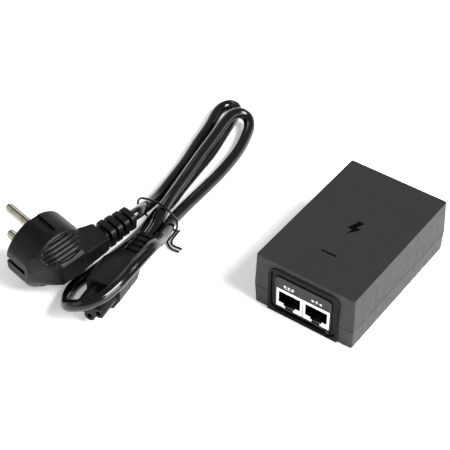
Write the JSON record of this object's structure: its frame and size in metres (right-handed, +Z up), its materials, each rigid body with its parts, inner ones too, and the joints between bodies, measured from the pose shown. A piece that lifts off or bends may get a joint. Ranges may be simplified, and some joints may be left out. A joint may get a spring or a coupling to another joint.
{
  "type": "poe injector",
  "caption": "Power over Ethernet injector: a two-part case with LAN and POE sockets, reset button, status light slot and rear mains inlet, with its folded and tied mains lead.",
  "frame": {"origin": "bottom centre of the injector's case, without the lead", "axes": "+Z up; -Y the way the LAN and POE sockets face; +Y the way the mains inlet faces"},
  "size_m": [0.1736, 0.1824, 0.0369],
  "materials": {
    "case_charcoal": "fine-textured charcoal ABS",
    "bezel_black": "polished black",
    "panel_dark": "fine-textured dark grey",
    "socket_metal": "bright nickel-plated sheet",
    "socket_black": "moulded black insulator",
    "contact_gold": "gold-plated spring wire",
    "button_black": "satin black",
    "switch_body": "black with a brown plunger",
    "switch_plunger": "red-brown",
    "light_pipe": "clear acrylic light guide",
    "led_white": "moulded lamp package",
    "label_silver": "blank silver-grey rating label",
    "inlet_black": "satin black",
    "pin_nickel": "nickel-plated",
    "board_green": "green laminate",
    "component_dark": "black moulding",
    "component_yellow": "yellow casing and tape",
    "component_blue": "blue coating",
    "component_white": "white moulding",
    "capacitor_sleeve": "dark blue sleeve",
    "winding_copper": "varnished copper wire",
    "ferrite": "dark grey ferrite",
    "heatsink": "plain aluminium plate",
    "plug_black": "textured black PVC",
    "relief_black": "satin black PVC",
    "plug_pin_metal": "nickel-plated brass",
    "earth_clip_metal": "plated brass strip",
    "cord_black": "glossy black PVC sheath",
    "connector_black": "textured black PVC",
    "tie_black": "black plastic over wire"
  },
  "bodies": {
    "case": {"bezel_ring": "bezel_black", "bottom_shell": "case_charcoal", "bridge_rectifier": "component_dark", "bulk_capacitor": "capacitor_sleeve", "circuit_board": "board_green", "common_mode_choke": "winding_copper", "fuse": "component_dark", "heatsink": "heatsink", "inlet_housing": "inlet_black", "inlet_pin_earth": "pin_nickel", "inlet_pin_live": "pin_nickel", "inlet_pin_neutral": "pin_nickel", "lan_housing": "socket_black", "lan_shield": "socket_metal", "light_pipe": "light_pipe", "optocoupler": "component_white", "output_capacitor_1": "capacitor_sleeve", "output_capacitor_2": "capacitor_sleeve", "output_rectifier": "component_dark", "poe_housing": "socket_black", "poe_shield": "socket_metal", "port_panel": "panel_dark", "rating_label": "label_silver", "reset_switch": "switch_body", "status_led": "led_white", "switching_transistor": "component_dark", "top_shell": "case_charcoal", "transformer_core": "ferrite", "transformer_winding": "component_yellow", "x_capacitor": "component_yellow", "y_capacitor": "component_blue"},
    "reset": {"reset_button": "button_black", "reset_switch_plunger": "switch_plunger"},
    "lan_contacts": {"lan_contact_1": "contact_gold", "lan_contact_2": "contact_gold", "lan_contact_3": "contact_gold", "lan_contact_4": "contact_gold", "lan_contact_5": "contact_gold", "lan_contact_6": "contact_gold", "lan_contact_7": "contact_gold", "lan_contact_8": "contact_gold"},
    "poe_contacts": {"poe_contact_1": "contact_gold", "poe_contact_2": "contact_gold", "poe_contact_3": "contact_gold", "poe_contact_4": "contact_gold", "poe_contact_5": "contact_gold", "poe_contact_6": "contact_gold", "poe_contact_7": "contact_gold", "poe_contact_8": "contact_gold"},
    "mains_lead": {"connector_body": "connector_black", "connector_strain_relief": "relief_black", "mains_cord": "cord_black", "plug_body": "plug_black", "plug_earth_clip_far": "earth_clip_metal", "plug_earth_clip_near": "earth_clip_metal", "plug_pin_lower": "plug_pin_metal", "plug_pin_upper": "plug_pin_metal", "plug_strain_relief": "relief_black", "twist_tie": "tie_black"}
  },
  "joints": [
    {"name": "reset_press", "type": "slide", "parent": "case", "child": "reset", "axis": [0, 1, 0], "range_m": [0, 0.0005], "stiffness_N_per_m": 800},
    {"name": "lan_contacts_flex", "type": "hinge", "parent": "case", "child": "lan_contacts", "pos_m": [-0.00745, -0.04, 0.0142], "axis": [1, 0, 0], "range_deg": [0, 8], "stiffness_Nm_per_rad": 0.02},
    {"name": "poe_contacts_flex", "type": "hinge", "parent": "case", "child": "poe_contacts", "pos_m": [0.00745, -0.04, 0.0142], "axis": [1, 0, 0], "range_deg": [0, 8], "stiffness_Nm_per_rad": 0.02},
    {"name": "lead_aside", "type": "slide", "parent": "case", "child": "mains_lead", "axis": [-1, 0, 0], "range_m": [0, 0.1]}
  ]
}
